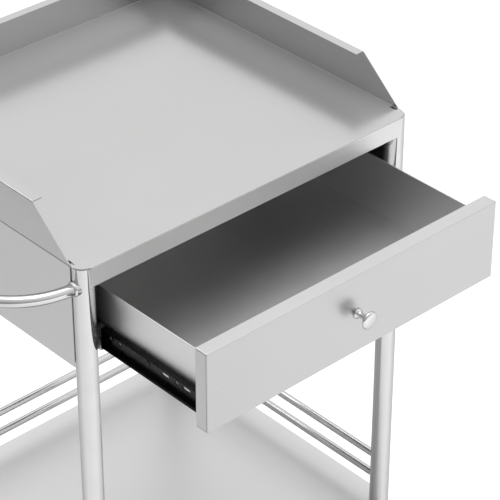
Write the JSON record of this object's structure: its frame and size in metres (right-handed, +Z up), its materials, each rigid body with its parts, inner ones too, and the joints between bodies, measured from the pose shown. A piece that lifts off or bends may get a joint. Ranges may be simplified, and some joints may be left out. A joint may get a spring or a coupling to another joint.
{
  "type": "laboratory trolley",
  "caption": "Stainless laboratory trolley: guarded tray top, one drawer on ball-bearing slides, lower shelf with rails, side push handle and swivel casters.",
  "frame": {"origin": "on the floor under the middle of the whole trolley's box, with the drawer open as in the picture and the handle included", "axes": "+Z up from the floor, -Y towards the drawer's open side, -X towards the push handle"},
  "size_m": [0.6096, 0.6378, 0.86],
  "materials": {
    "satin_steel": "satin, fine grain",
    "polished_tube": "polished stainless tube",
    "polished_knob": "mirror polished",
    "slide_black": "black electrophoretic coat",
    "zinc_plate": "bright zinc plate",
    "bearing_steel": "polished balls",
    "hub_grey": "moulded nylon",
    "tread_grey": "soft non-marking rubber",
    "pedal_grey": "moulded nylon",
    "plug_black": "moulded nylon"
  },
  "bodies": {
    "frame": {"top_tray": "satin_steel", "deck_stiffener": "satin_steel", "shelf_stiffener": "satin_steel", "leg_front_left": "polished_tube", "leg_front_right": "polished_tube", "leg_back_left": "polished_tube", "leg_back_right": "polished_tube", "push_handle": "polished_tube", "handle_collars": "polished_tube", "side_panel_left": "satin_steel", "side_panel_right": "satin_steel", "back_panel": "satin_steel", "runner_channel_left": "satin_steel", "runner_channel_right": "satin_steel", "lower_shelf": "satin_steel", "rail_back_upper": "polished_tube", "rail_back_lower": "polished_tube", "rail_left_upper": "polished_tube", "rail_left_lower": "polished_tube", "rail_right_upper": "polished_tube", "rail_right_lower": "polished_tube", "slide_outer_left": "slide_black", "slide_outer_right": "slide_black", "slide_rivets": "zinc_plate", "caster_plugs": "plug_black", "caster_stems": "zinc_plate", "caster_cups": "zinc_plate"},
    "drawer": {"drawer_front": "satin_steel", "drawer_front_liner": "satin_steel", "drawer_box": "satin_steel", "drawer_box_end": "satin_steel", "drawer_knob": "polished_knob", "knob_screw": "zinc_plate", "slide_inner_left": "slide_black", "slide_inner_right": "slide_black", "slide_screws": "zinc_plate"},
    "ball_cage_left": {"slide_cage_left": "zinc_plate", "slide_balls_left": "bearing_steel"},
    "ball_cage_right": {"slide_cage_right": "zinc_plate", "slide_balls_right": "bearing_steel"},
    "caster_front_left": {"caster_fork_front_left": "zinc_plate", "wheel_axle_front_left": "zinc_plate", "brake_pin_front_left": "zinc_plate"},
    "wheel_front_left": {"wheel_hub_front_left": "hub_grey", "wheel_tread_front_left": "tread_grey"},
    "pedal_front_left": {"brake_pedal_front_left": "pedal_grey"},
    "caster_front_right": {"caster_fork_front_right": "zinc_plate", "wheel_axle_front_right": "zinc_plate"},
    "wheel_front_right": {"wheel_hub_front_right": "hub_grey", "wheel_tread_front_right": "tread_grey"},
    "caster_back_left": {"caster_fork_back_left": "zinc_plate", "wheel_axle_back_left": "zinc_plate", "brake_pin_back_left": "zinc_plate"},
    "wheel_back_left": {"wheel_hub_back_left": "hub_grey", "wheel_tread_back_left": "tread_grey"},
    "pedal_back_left": {"brake_pedal_back_left": "pedal_grey"},
    "caster_back_right": {"caster_fork_back_right": "zinc_plate", "wheel_axle_back_right": "zinc_plate"},
    "wheel_back_right": {"wheel_hub_back_right": "hub_grey", "wheel_tread_back_right": "tread_grey"}
  },
  "joints": [
    {"name": "drawer_slide", "type": "slide", "parent": "frame", "child": "drawer", "axis": [0, -1, 0], "range_m": [-0.168, 0.092]},
    {"name": "ball_cage_left_slide", "type": "slide", "parent": "frame", "child": "ball_cage_left", "axis": [0, -1, 0], "range_m": [-0.084, 0.046]},
    {"name": "ball_cage_right_slide", "type": "slide", "parent": "frame", "child": "ball_cage_right", "axis": [0, -1, 0], "range_m": [-0.084, 0.046]},
    {"name": "caster_front_left_swivel", "type": "hinge", "parent": "frame", "child": "caster_front_left", "pos_m": [-0.1878, -0.1162, 0.0865], "axis": [0, 0, 1], "continuous": true},
    {"name": "wheel_front_left_spin", "type": "hinge", "parent": "caster_front_left", "child": "wheel_front_left", "pos_m": [-0.2158, -0.1162, 0.0375], "axis": [0, 1, 0], "continuous": true},
    {"name": "brake_pedal_front_left_tip", "type": "hinge", "parent": "caster_front_left", "child": "pedal_front_left", "pos_m": [-0.2378, -0.1162, 0.08], "axis": [0, -1, 0], "range_deg": [0, 30]},
    {"name": "caster_front_right_swivel", "type": "hinge", "parent": "frame", "child": "caster_front_right", "pos_m": [0.2868, -0.1162, 0.0865], "axis": [0, 0, 1], "continuous": true},
    {"name": "wheel_front_right_spin", "type": "hinge", "parent": "caster_front_right", "child": "wheel_front_right", "pos_m": [0.2588, -0.1162, 0.0375], "axis": [0, 1, 0], "continuous": true},
    {"name": "caster_back_left_swivel", "type": "hinge", "parent": "frame", "child": "caster_back_left", "pos_m": [-0.1878, 0.2984, 0.0865], "axis": [0, 0, 1], "continuous": true},
    {"name": "wheel_back_left_spin", "type": "hinge", "parent": "caster_back_left", "child": "wheel_back_left", "pos_m": [-0.2158, 0.2984, 0.0375], "axis": [0, 1, 0], "continuous": true},
    {"name": "brake_pedal_back_left_tip", "type": "hinge", "parent": "caster_back_left", "child": "pedal_back_left", "pos_m": [-0.2378, 0.2984, 0.08], "axis": [0, -1, 0], "range_deg": [0, 30]},
    {"name": "caster_back_right_swivel", "type": "hinge", "parent": "frame", "child": "caster_back_right", "pos_m": [0.2868, 0.2984, 0.0865], "axis": [0, 0, 1], "continuous": true},
    {"name": "wheel_back_right_spin", "type": "hinge", "parent": "caster_back_right", "child": "wheel_back_right", "pos_m": [0.2588, 0.2984, 0.0375], "axis": [0, 1, 0], "continuous": true}
  ],
  "couplings": [
    {"joint": "ball_cage_left_slide", "follows": "drawer_slide", "ratio": 0.5},
    {"joint": "ball_cage_right_slide", "follows": "drawer_slide", "ratio": 0.5}
  ]
}
